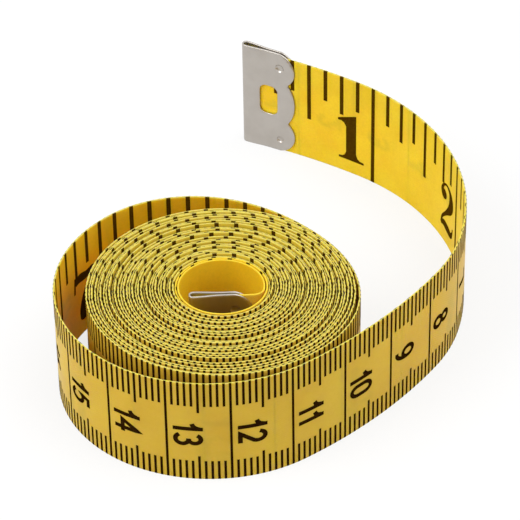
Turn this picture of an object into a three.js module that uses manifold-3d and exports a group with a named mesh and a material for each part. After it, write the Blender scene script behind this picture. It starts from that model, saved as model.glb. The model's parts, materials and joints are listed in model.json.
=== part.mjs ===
// Cloth tape measure: a printed strip wound on itself, with a folded metal clip on each end.
// It stands on the strip's lower edge. Millimetres, +Z up, seen from the front along +Y.
// The origin is on the table, under the middle of the whole part.

import * as THREE from "three";
import { mergeVertices } from "three/addons/utils/BufferGeometryUtils.js";
import Module from "manifold-3d";

// The strip
const TAPE_WIDTH = 20;
const TAPE_THICKNESS = 0.36;

// The winding, a tilted oval spiral whose eye sits off its middle and has room for the far clip.
// The real winding has over twice as many turns, which touch: these are spaced to stand clear.
const COIL_HALF_BREADTH = 21.2;
const DRAWN_TURNS = 15.127;
const EYE_ROOM = 1.34;
const DEPTH_TO_BREADTH = 0.944;
const OVAL_TILT = -4.7;
const EYE_SHIFT = 0.28;
const EYE_SETBACK = 0.92;
const STEPS_PER_TURN = 24;

// The loose outer turn: it lifts off the coil, swells and lands again (degrees from +X)
const LIFT_ANGLE = 40;
const WIDEST_ANGLE = 131;
const LANDING_ANGLE = 306;
const LOOSE_SWELL = 5.4;
const LOOSE_STRETCH_LENGTH = 11;
const STEPS_PER_LOOSE_STRETCH = 3;

// The free tail: four bends, from the landing to the zero clip
const LANDING_BEND_LENGTH = 29.7;
const LANDING_BEND_RADIUS = 80.9;
const FRONT_BEND_LENGTH = 9;
const FRONT_BEND_RADIUS = 27.7;
const SIDE_BEND_LENGTH = 46.2;
const SIDE_BEND_RADIUS = 36.8;
const BACK_BEND_LENGTH = 12.4;
const BACK_BEND_RADIUS = 101;
const TAIL_STRETCH_LENGTH = 13;
const STEPS_PER_TAIL_STRETCH = 3;

// The inner end, which hooks back across the eye
const HOOK_RADIUS = 1.6;
const HOOK_TURN = 82;
const HOOK_STEPS = 6;

// A metal end: sheet folded over the strip, with a lobed mouth and a window
const CLIP_LENGTH = 10;
const CLIP_STANDOUT = 0.8;
const CLIP_SHEET = 0.28;
const CLIP_CLEARANCE = 0.1;
const CLIP_LEAD = 0.28;
const MIDDLE_LOBE_RADIUS = 7.4;
const CORNER_LOBE_RADIUS = 3.6;
const CORNER_LOBE_INSET = 0.1;
const LOBE_SIDES = 36;
const WINDOW_BREADTH = 3.35;
const WINDOW_HEIGHT = 6;
const WINDOW_CORNER = 1.2;
const WINDOW_SETBACK = 3.4;

// Free space at each flexure line, where one stretch of strip ends and the next begins
const FLEX_GAP = 0.3;

// Finish
const TAPE_COLOUR = 0xe3bb2e;
const TAPE_ROUGHNESS = 0.45;
const STEEL_COLOUR = 0xaca59e;
const STEEL_ROUGHNESS = 0.35;
const STEEL_METALNESS = 0.9;

// Sizes that follow
const FULL_TURN = 2 * Math.PI;
const TURN_STEP = FULL_TURN / STEPS_PER_TURN;
const TILT = THREE.MathUtils.degToRad(OVAL_TILT);
const EYE_OFFSET = new THREE.Vector2(EYE_SHIFT, EYE_SETBACK);
const LIFT = THREE.MathUtils.degToRad(LIFT_ANGLE);
const WIDEST = THREE.MathUtils.degToRad(WIDEST_ANGLE) - LIFT;
const LANDING = THREE.MathUtils.degToRad(LANDING_ANGLE) - LIFT;
const HOOK_ANGLE = THREE.MathUtils.degToRad(HOOK_TURN);
const CLIP_HEIGHT = TAPE_WIDTH + CLIP_STANDOUT;
const CLIP_INNER_HALF = TAPE_THICKNESS / 2 + CLIP_CLEARANCE;
const CLIP_OUTER_HALF = CLIP_INNER_HALF + CLIP_SHEET;
const CLIP_RUN = CLIP_LENGTH + CLIP_LEAD;
const EYE_HALF_BREADTH = (CLIP_RUN + HOOK_RADIUS + EYE_ROOM) / 2;
const PITCH = (COIL_HALF_BREADTH - EYE_HALF_BREADTH) / DRAWN_TURNS;
const INNER_ANGLE = -FULL_TURN * DRAWN_TURNS;
const TAIL_BENDS = [
  { length: LANDING_BEND_LENGTH, radius: LANDING_BEND_RADIUS },
  { length: FRONT_BEND_LENGTH, radius: FRONT_BEND_RADIUS },
  { length: SIDE_BEND_LENGTH, radius: SIDE_BEND_RADIUS },
  { length: BACK_BEND_LENGTH, radius: BACK_BEND_RADIUS },
];
const CUT_REACH = 2 * CLIP_OUTER_HALF;
const STRIP_SETBACK = CLIP_OUTER_HALF + CLIP_CLEARANCE;

// Fineness of the routes and of the curves in the clips
const FINE_STEP = 0.5;
const FINE_STEPS_PER_TURN = 180;
const FOLD_STEPS = 8;
const LEAST_STEP_SHARE = 1 / 3;

const wasm = await Module();
wasm.setup();

// Routes: a route is a list of points in plan, walked from its first point

function routeLength(route) {
  let length = 0;
  for (let i = 1; i < route.length; i += 1) {
    length += route[i].distanceTo(route[i - 1]);
  }
  return length;
}

function placeOn(route, distance) {
  let walked = 0;
  for (let i = 1; i < route.length; i += 1) {
    const step = route[i].distanceTo(route[i - 1]);
    if (walked + step >= distance || i === route.length - 1) {
      return route[i - 1].clone().lerp(route[i], (distance - walked) / step);
    }
    walked += step;
  }
  return route[0].clone();
}

function stretchOf(route, from, to, steps) {
  const points = [];
  for (let i = 0; i <= steps; i += 1) {
    points.push(placeOn(route, THREE.MathUtils.lerp(from, to, i / steps)));
  }
  return points;
}

function headingAtEnd(route) {
  return route.at(-1).clone().sub(route.at(-2)).angle();
}

// Walks on from the end of a route along an arc, left-hand for a positive turn
function addArc(route, startHeading, length, turn) {
  const steps = Math.max(1, Math.ceil(length / FINE_STEP));
  const step = length / steps;
  const point = route.at(-1).clone();
  for (let i = 0; i < steps; i += 1) {
    const heading = startHeading + (turn * (i + 0.5)) / steps;
    point.x += step * Math.cos(heading);
    point.y += step * Math.sin(heading);
    route.push(point.clone());
  }
  return startHeading + turn;
}

// The winding: angle 0 is where the loose turn lifts off, negative angles are inside the coil

function swell(angle) {
  if (angle <= 0 || angle >= LANDING) {
    return 0;
  }
  const share = angle < WIDEST ? angle / WIDEST : (LANDING - angle) / (LANDING - WIDEST);
  return (LOOSE_SWELL * (1 - Math.cos(Math.PI * share))) / 2;
}

function windingPlace(angle) {
  const radius = COIL_HALF_BREADTH + (PITCH * angle) / FULL_TURN + swell(angle);
  const onOval = LIFT + angle - TILT;
  const depthInCoil = Math.max(0, angle / INNER_ANGLE);
  return new THREE.Vector2(radius * Math.cos(onOval), DEPTH_TO_BREADTH * radius * Math.sin(onOval))
    .rotateAround(new THREE.Vector2(), TILT)
    .addScaledVector(EYE_OFFSET, depthInCoil);
}

function windingRoute(from, to) {
  const steps = Math.ceil(((to - from) / FULL_TURN) * FINE_STEPS_PER_TURN);
  const points = [];
  for (let i = 0; i <= steps; i += 1) {
    points.push(windingPlace(THREE.MathUtils.lerp(from, to, i / steps)));
  }
  return points;
}

// The free strip, from the lift to the fold of the zero clip

const looseRoute = windingRoute(0, LANDING);
const looseLength = routeLength(looseRoute);
const bendsLength = TAIL_BENDS.reduce((sum, bend) => sum + bend.length, 0);
const tailLength = bendsLength + CLIP_RUN;
const looseCount = Math.round(looseLength / LOOSE_STRETCH_LENGTH);
const tailCount = Math.round(tailLength / TAIL_STRETCH_LENGTH);
const freeRoute = [...looseRoute];
let tailHeading = headingAtEnd(looseRoute);
for (const bend of TAIL_BENDS) {
  tailHeading = addArc(freeRoute, tailHeading, bend.length, bend.length / bend.radius);
}
addArc(freeRoute, tailHeading, CLIP_RUN, 0);

// The inner end, from the coil's innermost turn to the fold of the far clip

const innerRoute = [windingPlace(INNER_ANGLE)];
const innerEndLength = HOOK_RADIUS * HOOK_ANGLE + CLIP_RUN;
const inwardHeading = headingAtEnd(windingRoute(INNER_ANGLE, INNER_ANGLE + TURN_STEP).reverse());
const innerHeading = addArc(innerRoute, inwardHeading, HOOK_RADIUS * HOOK_ANGLE, -HOOK_ANGLE);
const hookRoute = [...innerRoute];
addArc(innerRoute, innerHeading, CLIP_RUN, 0);

// Solids

function stripGeometry(route) {
  const half = TAPE_THICKNESS / 2;
  const positions = [];
  const triangles = [];
  for (let i = 0; i < route.length; i += 1) {
    const before = route[Math.max(0, i - 1)];
    const after = route[Math.min(route.length - 1, i + 1)];
    const along = after.clone().sub(before).normalize();
    const across = new THREE.Vector2(-along.y, along.x).multiplyScalar(half);
    const left = route[i].clone().add(across);
    const right = route[i].clone().sub(across);
    positions.push(left.x, left.y, 0, right.x, right.y, 0);
    positions.push(right.x, right.y, TAPE_WIDTH, left.x, left.y, TAPE_WIDTH);
  }
  for (let i = 0; i < route.length - 1; i += 1) {
    for (let side = 0; side < 4; side += 1) {
      const a = 4 * i + side;
      const b = 4 * i + ((side + 1) % 4);
      triangles.push(a, b + 4, b, a, a + 4, b + 4);
    }
  }
  const last = 4 * (route.length - 1);
  triangles.push(0, 1, 2, 0, 2, 3);
  triangles.push(last, last + 2, last + 1, last, last + 3, last + 2);
  const geometry = new THREE.BufferGeometry();
  geometry.setAttribute("position", new THREE.Float32BufferAttribute(positions, 3));
  geometry.setIndex(triangles);
  return geometry;
}

function toSolid(geometry) {
  const bare = geometry.clone();
  bare.deleteAttribute("normal");
  bare.deleteAttribute("uv");
  const merged = mergeVertices(bare);
  return new wasm.Manifold(
    new wasm.Mesh({
      numProp: 3,
      vertProperties: new Float32Array(merged.attributes.position.array),
      triVerts: new Uint32Array(merged.index.array),
    }),
  );
}

function toGeometry(solid) {
  const mesh = solid.getMesh();
  const geometry = new THREE.BufferGeometry();
  geometry.setAttribute("position", new THREE.Float32BufferAttribute(mesh.vertProperties, 3));
  geometry.setIndex([...mesh.triVerts]);
  return geometry;
}

// A prism across the clip, from an outline drawn with X along the strip and Y up it
function acrossClip(shape) {
  const geometry = new THREE.ExtrudeGeometry(shape, {
    depth: 2 * CUT_REACH,
    bevelEnabled: false,
    curveSegments: LOBE_SIDES / 4,
  });
  geometry.rotateX(Math.PI / 2);
  geometry.translate(0, CUT_REACH, 0);
  return toSolid(geometry);
}

function discShape(x, y, radius) {
  const points = [];
  for (let i = 0; i < LOBE_SIDES; i += 1) {
    const angle = (FULL_TURN * i) / LOBE_SIDES;
    points.push(new THREE.Vector2(x + radius * Math.cos(angle), y + radius * Math.sin(angle)));
  }
  return new THREE.Shape(points);
}

function roundedWindow() {
  const left = WINDOW_SETBACK;
  const right = WINDOW_SETBACK + WINDOW_BREADTH;
  const bottom = (CLIP_HEIGHT - WINDOW_HEIGHT) / 2;
  const top = bottom + WINDOW_HEIGHT;
  const corner = Math.min(WINDOW_CORNER, WINDOW_BREADTH / 2, WINDOW_HEIGHT / 2);
  const shape = new THREE.Shape();
  shape.absarc(right - corner, bottom + corner, corner, -Math.PI / 2, 0);
  shape.absarc(right - corner, top - corner, corner, 0, Math.PI / 2);
  shape.absarc(left + corner, top - corner, corner, Math.PI / 2, Math.PI);
  shape.absarc(left + corner, bottom + corner, corner, Math.PI, 1.5 * Math.PI);
  return shape;
}

// The folded sheet, with its fold on the left at X = 0 and its mouth open to the right
function foldedSheet() {
  const shape = new THREE.Shape();
  shape.moveTo(CLIP_LENGTH, CLIP_OUTER_HALF);
  shape.lineTo(CLIP_OUTER_HALF, CLIP_OUTER_HALF);
  shape.absarc(CLIP_OUTER_HALF, 0, CLIP_OUTER_HALF, Math.PI / 2, 1.5 * Math.PI);
  shape.lineTo(CLIP_LENGTH, -CLIP_OUTER_HALF);
  shape.lineTo(CLIP_LENGTH, -CLIP_INNER_HALF);
  shape.absarc(CLIP_OUTER_HALF, 0, CLIP_INNER_HALF, 1.5 * Math.PI, Math.PI / 2, true);
  shape.lineTo(CLIP_LENGTH, CLIP_INNER_HALF);
  shape.closePath();
  const geometry = new THREE.ExtrudeGeometry(shape, {
    depth: CLIP_HEIGHT,
    bevelEnabled: false,
    curveSegments: FOLD_STEPS,
  });
  return toSolid(geometry);
}

function clipGeometry() {
  const cornerX = CLIP_LENGTH - CORNER_LOBE_RADIUS;
  const cornerY = CORNER_LOBE_RADIUS - CORNER_LOBE_INSET;
  const plate = new THREE.Shape([
    new THREE.Vector2(-CLIP_OUTER_HALF, -CLIP_OUTER_HALF),
    new THREE.Vector2(cornerX, -CLIP_OUTER_HALF),
    new THREE.Vector2(cornerX, CLIP_HEIGHT + CLIP_OUTER_HALF),
    new THREE.Vector2(-CLIP_OUTER_HALF, CLIP_HEIGHT + CLIP_OUTER_HALF),
  ]);
  const middleX = CLIP_LENGTH - MIDDLE_LOBE_RADIUS;
  const outline = acrossClip(plate)
    .add(acrossClip(discShape(middleX, CLIP_HEIGHT / 2, MIDDLE_LOBE_RADIUS)))
    .add(acrossClip(discShape(cornerX, cornerY, CORNER_LOBE_RADIUS)))
    .add(acrossClip(discShape(cornerX, CLIP_HEIGHT - cornerY, CORNER_LOBE_RADIUS)));
  const clip = foldedSheet().intersect(outline).subtract(acrossClip(roundedWindow()));
  return toGeometry(clip);
}

// The pieces

function tapeMesh(name, route) {
  const material = new THREE.MeshStandardMaterial({ color: TAPE_COLOUR, roughness: TAPE_ROUGHNESS });
  const mesh = new THREE.Mesh(stripGeometry(route), material);
  mesh.name = name;
  return mesh;
}

// A clip on the end of a route, with its fold at the route's last point
function clipMesh(name, route) {
  const material = new THREE.MeshStandardMaterial({
    color: STEEL_COLOUR,
    roughness: STEEL_ROUGHNESS,
    metalness: STEEL_METALNESS,
  });
  const mesh = new THREE.Mesh(clipGeometry(), material);
  mesh.name = name;
  mesh.position.set(route.at(-1).x, route.at(-1).y, 0);
  mesh.rotation.z = headingAtEnd(route) + Math.PI;
  return mesh;
}

// The coil's points keep to the same rays in every turn, so that neighbouring turns stay even
function coilPoints() {
  const first = INNER_ANGLE + FLEX_GAP / 2 / EYE_HALF_BREADTH;
  const last = -FLEX_GAP / 2 / COIL_HALF_BREADTH;
  const points = [windingPlace(last)];
  for (let angle = -TURN_STEP; angle > first + LEAST_STEP_SHARE * TURN_STEP; angle -= TURN_STEP) {
    points.push(windingPlace(angle));
  }
  points.push(windingPlace(first));
  return points.reverse();
}

// Equal stretches of the free strip between two places on it, with a gap at each flexure line
function freeStretches(from, to, count, steps, endSetback) {
  const stretches = [];
  const each = (to - from) / count;
  for (let i = 0; i < count; i += 1) {
    const start = from + i * each + FLEX_GAP / 2;
    const isLast = i === count - 1;
    const end = from + (i + 1) * each - (isLast ? endSetback : FLEX_GAP / 2);
    stretches.push(stretchOf(freeRoute, start, end, steps));
  }
  return stretches;
}

const coil = coilPoints();
const freeLength = looseLength + tailLength;
const loose = freeStretches(0, looseLength, looseCount, STEPS_PER_LOOSE_STRETCH, FLEX_GAP / 2);
const tail = freeStretches(looseLength, freeLength, tailCount, STEPS_PER_TAIL_STRETCH, STRIP_SETBACK);
const hookLength = routeLength(hookRoute);
const innerEnd = [
  ...stretchOf(innerRoute, FLEX_GAP / 2, hookLength, HOOK_STEPS),
  placeOn(innerRoute, innerEndLength - STRIP_SETBACK),
];

const tapeMeasure = new THREE.Group();
tapeMeasure.add(tapeMesh("wound_coil", coil));
loose.forEach((points, i) => tapeMeasure.add(tapeMesh(`loose_turn_${i + 1}`, points)));
tail.forEach((points, i) => tapeMeasure.add(tapeMesh(`tail_${i + 1}`, points)));
tapeMeasure.add(clipMesh("zero_clip", freeRoute));
tapeMeasure.add(tapeMesh("inner_end", innerEnd));
tapeMeasure.add(clipMesh("far_clip", innerRoute));

// The origin goes under the middle of the part
tapeMeasure.updateMatrixWorld(true);
const middle = new THREE.Box3().setFromObject(tapeMeasure, true).getCenter(new THREE.Vector3());
tapeMeasure.position.set(-middle.x, -middle.y, 0);

// The least gap of the strip to itself, between points at least half an inner turn apart along it

function distanceToStep(point, start, end) {
  const along = end.clone().sub(start);
  const share = point.clone().sub(start).dot(along) / along.lengthSq();
  return point.distanceTo(start.clone().addScaledVector(along, THREE.MathUtils.clamp(share, 0, 1)));
}

function leastSelfGap(points) {
  const skip = Math.PI * EYE_HALF_BREADTH;
  let least = Infinity;
  for (let i = 0; i < points.length; i += 1) {
    let walked = 0;
    for (let j = i + 1; j < points.length; j += 1) {
      if (walked > skip) {
        least = Math.min(least, distanceToStep(points[i], points[j - 1], points[j]) - TAPE_THICKNESS);
      }
      walked += points[j].distanceTo(points[j - 1]);
    }
  }
  return least;
}

const wholeStrip = [...innerEnd.slice().reverse(), ...coil, ...loose.flat(), ...tail.flat()];
console.log(`least gap of the strip to itself: ${leastSelfGap(wholeStrip).toFixed(3)} mm`);

// Where the flexure lines stand, in the part's own frame

function tellPlace(name, point) {
  console.log(`${name}: ${(point.x - middle.x).toFixed(3)} ${(point.y - middle.y).toFixed(3)}`);
}

for (let i = 0; i < looseCount; i += 1) {
  tellPlace(`loose flexure ${i + 1}`, placeOn(freeRoute, (looseLength * i) / looseCount));
}
for (let i = 0; i < tailCount; i += 1) {
  tellPlace(`tail flexure ${i + 1}`, placeOn(freeRoute, looseLength + (tailLength * i) / tailCount));
}
tellPlace("inner flexure", innerRoute[0]);

export default tapeMeasure;
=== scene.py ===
"""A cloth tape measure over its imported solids: printed strip, ink, metal ends and a white studio.

Lengths are in millimetres in the part's own frame, and MM turns them into Blender's metres.
A place on the strip is given by its distance from the zero end, along, and its height, across.
"""

import functools
import json
import math

import bpy
import numpy as np
from mathutils import Matrix, Vector
from mathutils.geometry import delaunay_2d_cdt


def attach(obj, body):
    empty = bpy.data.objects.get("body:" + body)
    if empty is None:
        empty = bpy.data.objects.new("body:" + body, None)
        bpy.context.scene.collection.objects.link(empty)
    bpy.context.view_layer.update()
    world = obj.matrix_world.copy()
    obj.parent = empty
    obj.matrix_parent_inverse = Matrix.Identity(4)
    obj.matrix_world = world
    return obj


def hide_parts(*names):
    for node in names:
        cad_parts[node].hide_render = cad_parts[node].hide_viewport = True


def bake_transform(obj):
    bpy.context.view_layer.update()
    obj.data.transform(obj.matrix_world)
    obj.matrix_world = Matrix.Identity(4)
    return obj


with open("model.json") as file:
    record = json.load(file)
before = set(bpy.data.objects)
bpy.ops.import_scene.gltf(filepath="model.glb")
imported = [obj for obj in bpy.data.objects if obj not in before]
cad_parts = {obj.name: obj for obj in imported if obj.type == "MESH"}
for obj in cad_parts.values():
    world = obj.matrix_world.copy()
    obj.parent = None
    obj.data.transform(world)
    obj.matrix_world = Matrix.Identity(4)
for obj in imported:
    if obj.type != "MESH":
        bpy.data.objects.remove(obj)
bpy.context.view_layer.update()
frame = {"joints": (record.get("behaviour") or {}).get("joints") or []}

MM = 0.001
FULL_TURN = 2 * math.pi

# The strip, a little thinner than its solids, so that the uneven turns stay clear of each other
TAPE_WIDTH = 20.0
TAPE_THICKNESS = 0.3
EDGE_RADIUS = TAPE_THICKNESS / 2
EDGE_STEPS = 3

# The winding: the solids' spiral with its real number of touching turns, between the same two ends
COIL_HALF_BREADTH = 21.2
EYE_HALF_BREADTH = 6.61
SOLID_TURNS = 15.127
TURNS_ADDED = 18
TURNS = SOLID_TURNS + TURNS_ADDED
SOLID_PITCH = (COIL_HALF_BREADTH - EYE_HALF_BREADTH) / SOLID_TURNS
PITCH = (COIL_HALF_BREADTH - EYE_HALF_BREADTH) / TURNS
DEPTH_TO_BREADTH = 0.944
OVAL_TILT = math.radians(-4.7)
EYE_OFFSET = (0.28, 0.92)
LIFT_ANGLE = math.radians(40)
WIDEST = math.radians(131) - LIFT_ANGLE
LANDING = math.radians(306) - LIFT_ANGLE
LOOSE_SWELL = 5.4

# How the real turns lie: not quite even, bowed out on one side, and not all down on the table
SLACK = 0.044
SLACK_WAVES = ((0.9, 0.37, 1.9), (0.1, 0.19, 1.0))
FADE_TURNS = 0.5
BULGE = 0.7
BULGE_ANGLE = math.radians(-12)
BULGE_SPREAD = math.radians(50)
BULGE_TURNS = 2.0
RISE = 1.0
RISE_WAVES = ((0.5, 0.37, 0.9), (0.2, 0.46, 2.4), (0.2, 0.13, 0.6), (0.1, 1.31, 0.0))
EYE_RISE = 0.4
EYE_RISE_TURNS = 3.0

# The free strip's bends as (length, radius), and the hook at the inner end
TAIL_BENDS = ((29.7, 80.9), (9.0, 27.7), (46.2, 36.8), (12.4, 101.0))
LOOSE_STRETCHES = 10
TAIL_STRETCHES = 8
ZERO_BODY = f"tail_{TAIL_STRETCHES}"
HOOK_RADIUS = 1.6
HOOK_TURN = math.radians(82)

# A metal end
CLIP_LENGTH = 10.0
CLIP_LEAD = 0.28
CLIP_RUN = CLIP_LENGTH + CLIP_LEAD
CLIP_HEIGHT = 20.8
CLIP_SHEET = 0.28
CLIP_FOLD_RADIUS = 0.58
CLIP_OUTER_HALF = CLIP_FOLD_RADIUS + CLIP_SHEET / 2
CLIP_PINCH = 0.28
CLIP_PINCH_REACH = 4.5
CLIP_BEVEL = 0.05
STRIP_SETBACK = 0.66
MIDDLE_LOBE_RADIUS = 7.4
CORNER_LOBE_RADIUS = 3.6
CORNER_LOBE_INSET = 0.1
WINDOW_BREADTH = 3.35
WINDOW_HEIGHT = 6.0
WINDOW_CORNER = 1.2
WINDOW_SETBACK = 3.4

# Its pressed pits as (place from the fold, height, radius, depth), and their rings of points
PITS = ((7.2, 17.75, 0.8, 0.28), (7.2, 2.4, 0.64, 0.28))
PIT_STEEPNESS = 4
PIT_RINGS = (0.3, 0.5, 0.65, 0.8, 0.9, 1.0, 1.15)

# The centimetre scale, on the outer face
MM_LINE = 0.4
MM_TICK_TOP = 4.7
MM_TICK_TOP_FIFTH = 6.0
MM_TICK_LOW = 3.9
MM_TICK_LOW_FIFTH = 4.9
CM_DIGIT_HEIGHT = 4.7
CM_DIGIT_WIDTH = 2.65
CM_DIGIT_WIDTH_OF = {"1": 1.65, "4": 2.95}
CM_DIGIT_STROKE = 0.75
CM_DIGIT_GAP = 0.53
CM_DIGIT_TO_LINE = 1.0
CM_NUMERAL_MIDDLE = 9.45

# The inch scale, on the inner face
INCH = 25.4
INCH_LINE = 0.71
EIGHTH_TICK = 6.3
QUARTER_TICK = 8.0
HALF_TICK = 11.4
INCH_DIGIT_BASE = 2.75
INCH_DIGIT_MIDDLE = 2.95
INCH_DIGIT_SCALE = 1.14
INCH_DIGIT_TO_LINE = 4.5

# Ink lies a little proud of the strip, is bedded in it and wraps a little way over its edges
INK_PROUD = 0.014
INK_BED = 0.03
MM_WRAP = EDGE_RADIUS * math.radians(58)
INCH_WRAP = EDGE_RADIUS * math.radians(72)

# On most of the wound turns only the upper ends of the lines are drawn
STUB_TICK = 1.5

# Fineness
ROUTE_STEP = 0.1
ROUTE_POINTS_PER_TURN = 720
STRIP_STEP = 0.55
FREE_ROWS = 34
COIL_ROWS = 3

# The photograph's camera, measured from the coil's middle
IMAGE_SIDE = 520
FOCAL_PIXELS = 3387.4
SENSOR = 36.0
AIM_FROM_COIL = (6.276, 30.93)
CAMERA_DISTANCE = 564.87
CAMERA_ELEVATION = math.radians(40.42)
CAMERA_ROLL = math.radians(-1.02)


# The strip's route in plan

def smoothstep(share):
    share = np.clip(share, 0, 1)
    return share * share * (3 - 2 * share)


def turns_fade(turn):
    """1 well inside the coil, falling to 0 at both ends of the winding."""
    return smoothstep(np.minimum(turn, TURNS - turn) / FADE_TURNS)


def sum_of_waves(turn, waves):
    """Waves given as (share, waves to a turn, phase), so that neighbouring turns differ."""
    return sum(share * np.sin(FULL_TURN * rate * turn + phase) for share, rate, phase in waves)


def slack(turn):
    """How far a turn lies off the even spiral: turns pair up, and the pairing drifts round the coil."""
    return SLACK * turns_fade(turn) * sum_of_waves(turn, SLACK_WAVES)


def rise_of_turn(turn):
    """How far a turn stands above the table: every third turn or so is higher than its neighbours."""
    uneven = RISE * turns_fade(turn) * (1 + sum_of_waves(turn, RISE_WAVES)) / 2
    at_eye = smoothstep((turn - TURNS + EYE_RISE_TURNS) / EYE_RISE_TURNS)
    return uneven + (EYE_RISE - uneven) * at_eye


def bulge(angle):
    """How far the outermost turns bow out on one side."""
    turn = np.clip(-angle / FULL_TURN, 0, None)
    off = np.abs((LIFT_ANGLE + angle - BULGE_ANGLE + math.pi) % FULL_TURN - math.pi)
    bow = BULGE * np.exp(-turn / BULGE_TURNS) * smoothstep(1 - off / BULGE_SPREAD)
    return np.where(angle < 0, bow, 0)


def swell(angle):
    rising = angle / WIDEST
    falling = (LANDING - angle) / (LANDING - WIDEST)
    share = np.clip(np.where(angle < WIDEST, rising, falling), 0, 1)
    return LOOSE_SWELL * (1 - np.cos(math.pi * share)) / 2


def winding(angle):
    """Places in plan; the loose turn lifts off at angle 0, and negative angles are in the coil."""
    turn = np.clip(-angle / FULL_TURN, 0, TURNS)
    pitch = np.where(angle > 0, SOLID_PITCH, PITCH)
    radius = COIL_HALF_BREADTH + pitch * angle / FULL_TURN + swell(angle) + slack(turn) + bulge(angle)
    on_oval = LIFT_ANGLE + angle - OVAL_TILT
    long = radius * np.cos(on_oval)
    short = DEPTH_TO_BREADTH * radius * np.sin(on_oval)
    x = long * math.cos(OVAL_TILT) - short * math.sin(OVAL_TILT)
    y = long * math.sin(OVAL_TILT) + short * math.cos(OVAL_TILT)
    return np.stack([x, y], axis=1) + np.outer(turn / TURNS, EYE_OFFSET)


def unit(rows):
    """Directions scaled to length 1."""
    return rows / np.linalg.norm(rows, axis=1)[:, None]


def left_of(directions):
    """Directions in plan turned left by a quarter."""
    return np.stack([-directions[..., 1], directions[..., 0]], axis=-1)


def heading_of(start, end):
    return math.atan2(end[1] - start[1], end[0] - start[0])


def walk(start, heading, length, turn):
    """Points of an arc that sets out from start, left-hand for a positive turn."""
    steps = math.ceil(length / ROUTE_STEP)
    headings = heading + turn * (np.arange(steps) + 0.5) / steps
    moves = np.stack([np.cos(headings), np.sin(headings)], axis=1) * (length / steps)
    return start + np.cumsum(moves, axis=0)


def tail_route(wound):
    """The free tail, from where the loose turn lands to the fold of the zero clip."""
    stretches = []
    point = wound[-1]
    heading = heading_of(wound[-2], wound[-1])
    for length, radius in (*TAIL_BENDS, (CLIP_RUN, math.inf)):
        stretches.append(walk(point, heading, length, length / radius))
        point = stretches[-1][-1]
        heading += length / radius
    return np.vstack(stretches)


def inner_route(wound):
    """The inner end, from the innermost turn to the fold of the far clip."""
    inward = heading_of(wound[1], wound[0])
    hook = walk(wound[0], inward, HOOK_RADIUS * HOOK_TURN, -HOOK_TURN)
    return np.vstack([hook, walk(hook[-1], inward - HOOK_TURN, CLIP_RUN, 0)])


def lengths_along(points):
    steps = np.linalg.norm(np.diff(points, axis=0), axis=1)
    return np.concatenate([[0], np.cumsum(steps)])


wound_angles = np.linspace(-FULL_TURN * TURNS, LANDING, round((TURNS + 1) * ROUTE_POINTS_PER_TURN))
wound_points = winding(wound_angles)
tail_points = tail_route(wound_points)
inner_points = inner_route(wound_points)
first_joint = next(joint for joint in frame["joints"] if joint["name"] == "loose_turn_flex_1")
COIL_MIDDLE = np.array(first_joint["pos_m"][:2]) / MM - winding(np.zeros(1))[0]

ROUTE = np.vstack([tail_points[::-1], wound_points[::-1], inner_points]) + COIL_MIDDLE
ROUTE_ALONG = lengths_along(ROUTE)
ROUTE_TURN = np.concatenate([
    np.zeros(len(tail_points)),
    np.clip(-wound_angles[::-1] / FULL_TURN, 0, TURNS),
    np.full(len(inner_points), TURNS),
])
ROUTE_HEADING = unit(np.gradient(ROUTE, ROUTE_ALONG, axis=0))

STRIP_LENGTH = ROUTE_ALONG[-1]
TAIL_LENGTH = sum(length for length, _ in TAIL_BENDS) + CLIP_RUN
LIFT_ALONG = TAIL_LENGTH + lengths_along(wound_points[wound_angles >= 0])[-1]
INNER_ALONG = STRIP_LENGTH - HOOK_RADIUS * HOOK_TURN - CLIP_RUN


def on_route(rows, along):
    """Rows that are known along the route, read off at distances from the zero end."""
    return np.stack([np.interp(along, ROUTE_ALONG, column) for column in rows.T], axis=-1)


def place(along):
    return on_route(ROUTE, along)


def heading_at(along):
    return on_route(ROUTE_HEADING, along)


def facing(along):
    """The way the outer face looks."""
    return left_of(heading_at(along))


def turn_at(along):
    return np.interp(along, ROUTE_ALONG, ROUTE_TURN)


def skin(along, across, side, proud=0.0):
    """Points on the strip; side is 1 on the outer face and -1 on the inner one.

    Past the flat of the face, across runs on round the rounded edge.
    """
    along, across, side = np.broadcast_arrays(along, across, side)
    flat = np.clip(across, EDGE_RADIUS, TAPE_WIDTH - EDGE_RADIUS)
    bend = np.clip((across - flat) / EDGE_RADIUS, -math.pi / 2, math.pi / 2)
    reach = EDGE_RADIUS + proud
    plan = place(along) + facing(along) * (side * reach * np.cos(bend))[..., None]
    up = flat + reach * np.sin(bend) + rise_of_turn(turn_at(along))
    return np.concatenate([plan, up[..., None]], axis=-1)


# Meshes

SMOOTH_ANGLE = math.radians(50)


def add_object(name, data):
    added = bpy.data.objects.new(name, data)
    bpy.context.scene.collection.objects.link(added)
    return added


def make_object(name, points, faces, material):
    mesh = bpy.data.meshes.new(name)
    mesh.from_pydata((np.asarray(points) * MM).tolist(), [], faces)
    mesh.polygons.foreach_set("use_smooth", np.ones(len(mesh.polygons), dtype=bool))
    mesh.set_sharp_from_angle(angle=SMOOTH_ANGLE)
    mesh.materials.append(material)
    return add_object(name, mesh)


def set_attribute(piece, name, values):
    attribute = piece.data.attributes.new(name, "FLOAT", "POINT")
    attribute.data.foreach_set("value", np.asarray(values, dtype=np.float32).ravel())


def ring_across(rows):
    """Heights up the outer face from crest to crest, and back down the inner face, with their sides."""
    edge = EDGE_RADIUS * np.linspace(-math.pi / 2, 0, EDGE_STEPS, endpoint=False)
    flat = np.linspace(EDGE_RADIUS, TAPE_WIDTH - EDGE_RADIUS, rows)
    outer = np.concatenate([EDGE_RADIUS + edge, flat, TAPE_WIDTH - EDGE_RADIUS - edge[::-1]])
    inner = outer[-2:0:-1]
    sides = np.concatenate([np.ones(len(outer)), -np.ones(len(inner))])
    return np.concatenate([outer, inner]), sides


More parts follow.
